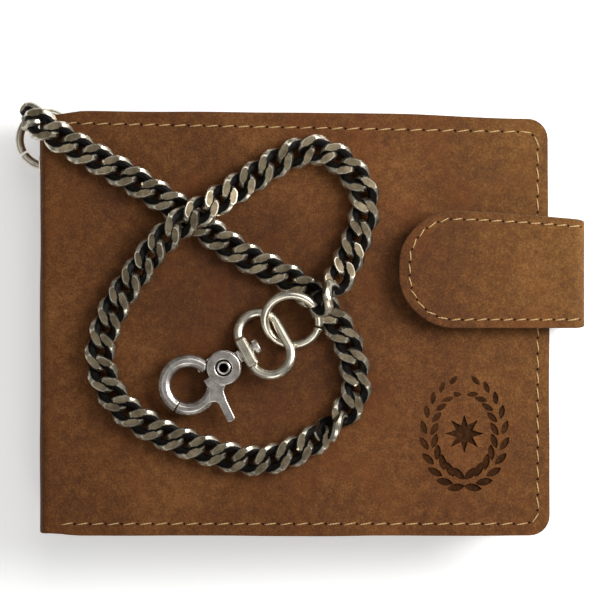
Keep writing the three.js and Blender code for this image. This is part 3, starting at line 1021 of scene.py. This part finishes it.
def arcPoints(x, y, radius, start, end, steps, first=0):
    # points on an arc about x, y; the angles are in quarter turns
    angles = [math.pi / 2 * (start + (end - start) * i / steps) for i in range(first, steps + 1)]
    return [Vector((x + radius * math.cos(a), y + radius * math.sin(a), 0)) for a in angles]


def coverRoute(seam):
    right = frontBox[1].x - seam["inRight"] - seam["corner"]
    low = frontBox[0].y + seam["inLow"]
    high = frontBox[1].y - seam["inHighRight"]
    points = [Vector((seam["left"], frontBox[1].y - seam["inHigh"], 0)), Vector((right, high, 0))]
    points += arcPoints(right, high - seam["corner"], seam["corner"], 1, 0, 3, 1)
    points += arcPoints(right, low + seam["corner"], seam["corner"], 0, -1, 3)
    return points + [Vector((seam["left"], low, 0))]


seamLine = coverRoute(coverSeam)
for name, placer, body in (("frontStitch", onFront, "front_half"), ("backStitch", onBack, "back_half")):
    for run in stitchRun(name, seamLine, coverStitch, placer):
        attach(run, body)
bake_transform(hide)
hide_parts("front_cover", "back_cover", "spine")
print("cover stitching is done")


# strap
strap = {
    "layer": 1.15 * mm, "gap": 0.06 * mm, "liningBack": 0.25 * mm, "gridStep": 2.0 * mm, "edge": 0.32 * mm,
    "tipRadius": 12.3 * mm, "tipReach": 0.5 * mm, "tipSoftness": 9 * mm,
    "foldRadius": 2.6 * mm, "foldNarrows": 0.7 * mm, "foldSteps": 7, "sideSteps": 5,
    "foldTopDrop": 2.2 * mm, "dropFrom": (30 * mm, 12 * mm),
    "lowerGridStep": 4 * mm, "lowerFoldSteps": 6, "lowerSideSteps": 4,
}
strapSeam = {
    "in": 2.0 * mm, "inRight": 1.1 * mm, "arcSteps": 8,
    # the upper run follows the strap's slope: (x, share of the drop)
    "slope": ((50 * mm, 0.36), (40 * mm, 0.10)), "rightShare": 0.82,
}
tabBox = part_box("strap_tab")
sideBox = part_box("strap_side")
strapMiddle = (sideBox[0].z + sideBox[1].z) / 2


def strapLayer(name, outer, inset):
    # one leather layer: along the tab, round the upper fold and down the side. outer: its outer face's offset
    skinTop = tabBox[1].z - outer - strap["layer"] / 2
    skinSide = tabBox[1].x - outer - strap["layer"] / 2
    radius = strap["foldRadius"] - outer
    foldX = skinSide - radius
    foldZ = skinTop - radius
    left = tabBox[0].x + inset
    layer = flatSheet(name, left, foldX, tabBox[0].y + inset, tabBox[1].y - inset, skinTop)
    roundCorner(layer, lambda co: co.x < left + 1 * mm, strap["tipRadius"] - inset, 9)
    gridCuts(layer, strap["gridStep"])
    pull(layer, lambda co: co.x < left + 0.2 * mm, (-strap["tipReach"], 0, 0), strap["tipSoftness"])
    choose(layer, "EDGE", lambda co: co.x > foldX - tiny)
    bpy.ops.mesh.spin(steps=strap["foldSteps"], angle=-math.pi / 2, center=(foldX, 0, foldZ),
                      axis=(0, 1, 0))
    done()
    choose(layer, "EDGE", lambda co: co.z < foldZ + tiny)
    for i in range(strap["sideSteps"]):
        extrude(0, 0, (strapMiddle - foldZ) / strap["sideSteps"])
    done()
    taper(layer)
    return finishStrap(layer)


def finishStrap(layer):
    drawIn(layer)
    cleaned(layer)
    paint(layer, brownLeather, edgeLeather)
    use(layer, "SOLIDIFY", thickness=strap["layer"], offset=0, use_even_offset=True,
        material_offset_rim=1)
    bevelled(layer, strap["edge"], 3)
    return softEdges(layer, 40)


def taper(obj):
    # the strap narrows towards the fold
    fromX, fromY = strap["dropFrom"]
    for point in obj.data.vertices:
        share = max(0, min(1, (point.co.x - fromX) / (tabBox[1].x - fromX)))
        if point.co.y > fromY:
            height = (point.co.y - fromY) / (tabBox[1].y - fromY)
            point.co.y -= strap["foldTopDrop"] * share ** 1.5 * height


def drawIn(obj):
    # the strap's edges draw in where it is bent
    middle = (tabBox[0].y + tabBox[1].y) / 2
    half = tabBox[1].y - middle
    for point in obj.data.vertices:
        bent = max(0, (point.co.x - tabBox[1].x) / strap["foldRadius"] + 1)
        point.co.y -= (point.co.y - middle) / half * strap["foldNarrows"] * bent ** 3


strapOuter = strapLayer("strapOuter", 0, 0)
strapLining = strapLayer("strapLining", strap["layer"] + strap["gap"], strap["liningBack"])

for layer in (strapOuter, strapLining):
    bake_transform(layer)
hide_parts("strap_tab")


def lowerStrap(name):
    # from half way up the side, round the lower fold and in under the panel
    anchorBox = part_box("strap_anchor")
    skinLow = anchorBox[0].z + strap["layer"] / 2
    foldX = tabBox[1].x - strap["layer"] / 2 - strap["foldRadius"]
    foldZ = skinLow + strap["foldRadius"]
    high = tabBox[1].y - strap["foldTopDrop"]
    layer = flatSheet(name, anchorBox[0].x, foldX, tabBox[0].y, high, skinLow)
    gridCuts(layer, strap["lowerGridStep"])
    choose(layer, "EDGE", lambda co: co.x > foldX - tiny)
    bpy.ops.mesh.spin(steps=strap["lowerFoldSteps"], angle=math.pi / 2, center=(foldX, 0, foldZ),
                      axis=(0, 1, 0))
    done()
    choose(layer, "EDGE", lambda co: co.z > foldZ - tiny)
    for i in range(strap["lowerSideSteps"]):
        extrude(0, 0, (strapMiddle - foldZ) / strap["lowerSideSteps"])
    done()
    return finishStrap(layer)


strapLower = lowerStrap("strapLower")
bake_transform(strapLower)
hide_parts("strap_side", "strap_anchor")


def strapTop(spot):
    return heightOn(strapOuter, spot.x, spot.y, tabBox[1].z)


def onStrap(place, direction):
    step = direction * 0.5 * mm
    slope = (strapTop(place + step) - strapTop(place - step)) / mm
    tilted = (direction + Vector((0, 0, slope))).normalized()
    return level(tilted, Vector((place.x, place.y, strapTop(place) + needlework["lift"])))


def strapRoute(seam):
    radius = strap["tipRadius"] - seam["in"]
    low, high = tabBox[0].y + seam["in"], tabBox[1].y - seam["in"]
    middle, right = tabBox[0].x + seam["in"] + radius, tabBox[1].x - seam["inRight"]
    points = [Vector((right, high - strap["foldTopDrop"] * seam["rightShare"], 0))]
    points += [Vector((x, high - strap["foldTopDrop"] * share, 0)) for x, share in seam["slope"]]
    points += [Vector((middle, high, 0))]
    points += arcPoints(middle, high - radius, radius, 1, 2, seam["arcSteps"], 1)
    points += arcPoints(middle, low + radius, radius, 2, 3, seam["arcSteps"])
    return points + [Vector((right, low, 0))]


for run in stitchRun("strapStitch", strapRoute(strapSeam), strapStitch, onStrap):
    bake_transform(run)
print("strap is made")


# press stud and eyelet: profiles are (radius, height) pairs in mm
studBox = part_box("closure_stud")
studPlace = Matrix.Translation(((studBox[0].x + studBox[1].x) / 2, (studBox[0].y + studBox[1].y) / 2, 0))
studProfile = [(0, 22.6), (1.3, 22.55), (1.7, 22.2), (1.45, 21.95), (1.6, 21.8), (4.4, 21.75),
               (4.9, 21.6), (5.0, 21.3), (0, 21.3)]
turned(spun("pressStud", studProfile, studPlace), "front_half", castSteel, "closure_stud")
socketProfile = [(2.1, 22.1), (2.3, 22.05), (4.9, 22.1), (5.3, 22.3), (5.4, 22.7), (2.1, 22.7), (1.9, 22.4),
                 (2.1, 22.1)]
turned(spun("pressSocket", socketProfile, studPlace), "strap_tab", castSteel, "closure_socket")

eyeletProfile = [(1.75, -0.2), (1.9, 0.05), (2.3, 0.18), (2.8, 0.14), (3.1, -0.12), (2.4, -0.2),
                 (2.2, -2.1), (1.75, -2.1), (1.75, -0.2)]
eyeletPlace = (Matrix.Translation((spineBox[0].x - eyelet["out"], eyelet["y"], foldZ))
               @ Matrix.Rotation(-math.pi / 2, 4, "Y"))
turned(spun("chainEyelet", eyeletProfile, eyeletPlace), "back_half", wireSteel, "chain_eyelet")
print("stud and eyelet are made")


# inside leather
def innerPlate(name, node, body, material, look):
    # a panel with a creased border line, from the box of its solid
    low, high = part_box(node)
    plate = flatSheet(name, low.x, high.x, low.y, high.y, low.z)
    roundCorner(plate, lambda co: co.x > (low.x + high.x) / 2, look["corner"])
    roundCorner(plate, lambda co: co.x < (low.x + high.x) / 2, look["innerCorner"], 2)
    everything(plate)
    extrude(0, 0, high.z - low.z)
    done()
    cleaned(plate)
    face = low.z if look["shows"] < 0 else high.z
    choose(plate, "FACE", lambda co: abs(co.z - face) < tiny)
    bpy.ops.mesh.inset(thickness=look["crease"])
    bpy.ops.mesh.inset(thickness=look["creaseWide"], depth=-look["creaseDeep"])
    bpy.ops.mesh.inset(thickness=look["creaseWide"], depth=look["creaseDeep"])
    done()
    bevelled(plate, look["edge"], 2)
    paint(plate, material)
    softEdges(plate, 30)
    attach(plate, body)
    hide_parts(node)


panelLook = {
    "corner": 3 * mm, "innerCorner": 0.6 * mm, "crease": 1.3 * mm, "creaseWide": 0.25 * mm,
    "creaseDeep": 0.16 * mm, "edge": 0.22 * mm, "shows": -1,
}
backPanelLook = {**panelLook, "shows": 1}
innerPlate("frontLining", "front_inner_panel", "front_half", liningLeather, panelLook)
innerPlate("backLining", "back_inner_panel", "back_half", liningLeather, backPanelLook)
for i in (1, 2, 3):
    innerPlate(f"cardPocket{i}", f"card_pocket_{i}", "front_half", brownLeather, panelLook)

pouchLook = {"wall": 0.8 * mm, "floor": 0.96 * mm, "edge": 0.5 * mm}


def makePouch():
    low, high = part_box("coin_pocket")
    bpy.ops.mesh.primitive_cube_add(size=1, location=(low + high) / 2)
    pouch = started("coinPouch")
    bpy.ops.transform.resize(value=high - low)
    settled(pouch)
    choose(pouch, "FACE", lambda co: co.y > high.y - tiny)
    bpy.ops.mesh.inset(thickness=pouchLook["wall"])
    extrude(0, low.y - high.y + pouchLook["floor"], 0)
    done()
    bevelled(pouch, pouchLook["edge"], 3)
    paint(pouch, liningLeather)
    softEdges(pouch, 40)
    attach(pouch, "back_half")
    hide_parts("coin_pocket")


makePouch()
flapLook = {"thick": 1.0 * mm, "fold": 1.2 * mm, "corner": 6 * mm, "foldSteps": 5, "edge": 0.25 * mm}


def makeFlap():
    low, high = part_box("coin_flap")
    skin = high.z - flapLook["thick"] / 2
    foldY = high.y - flapLook["thick"] / 2 - flapLook["fold"]
    foldZ = skin - flapLook["fold"]
    flap = flatSheet("coinFlap", low.x, high.x, low.y, foldY, skin)
    roundCorner(flap, lambda co: co.y < low.y + 1 * mm, flapLook["corner"])
    choose(flap, "EDGE", lambda co: co.y > foldY - tiny)
    bpy.ops.mesh.spin(steps=flapLook["foldSteps"], angle=-math.pi / 2, axis=(1, 0, 0),
                      center=(0, foldY, foldZ))
    done()
    choose(flap, "EDGE", lambda co: co.z < foldZ + tiny)
    extrude(0, 0, low.z - foldZ)
    done()
    cleaned(flap)
    paint(flap, brownLeather, edgeLeather)
    use(flap, "SOLIDIFY", thickness=flapLook["thick"], offset=0, material_offset_rim=1)
    bevelled(flap, flapLook["edge"], 2)
    softEdges(flap, 40)
    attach(flap, "coin_flap")
    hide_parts("coin_flap")


makeFlap()
capLow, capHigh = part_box("coin_snap_cap")
capPlace = Matrix.Translation(((capLow.x + capHigh.x) / 2, (capLow.y + capHigh.y) / 2, capLow.z))
capProfile = [(0, 0.62), (2.0, 0.6), (3.4, 0.5), (3.9, 0.34), (4.2, 0.5), (4.7, 0.5), (5.0, 0.3), (4.9, 0),
              (0, 0)]
turned(spun("snapCap", capProfile, capPlace), "coin_flap", castSteel, "coin_snap_cap")
print("inside leather is made")
